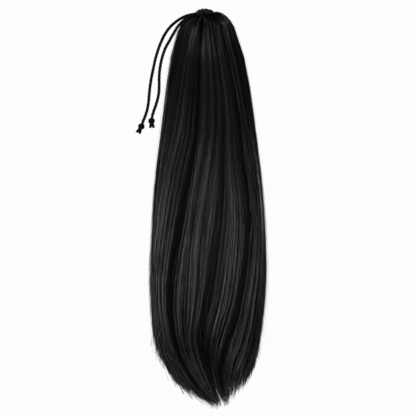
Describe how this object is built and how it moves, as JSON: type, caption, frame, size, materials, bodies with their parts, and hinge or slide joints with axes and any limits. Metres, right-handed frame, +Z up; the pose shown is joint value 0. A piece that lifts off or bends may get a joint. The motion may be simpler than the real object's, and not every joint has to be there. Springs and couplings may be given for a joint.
{
  "type": "ponytail hairpiece",
  "caption": "Long straight black drawstring ponytail hairpiece, hanging from its ruched mouth, with knotted cord ends at the side.",
  "frame": {"origin": "middle of the drawn mouth, level with the top of the casing's ruches", "axes": "+Z up out of the mouth, with the hair hanging towards -Z; front towards -Y; the drawstring's ends hang at -X"},
  "size_m": [0.1564, 0.062, 0.4689],
  "materials": {
    "hair": "glossy synthetic fibre",
    "cloth": "matt stretch cloth",
    "cord": "matt braid"
  },
  "bodies": {
    "root": {"cap": "cloth", "drawstring_casing": "cloth", "drawstring_loop": "cord", "cord_outer": "cord", "cord_inner": "cord", "knot_outer": "cord", "knot_inner": "cord", "hair_fall": "hair"}
  },
  "joints": []
}
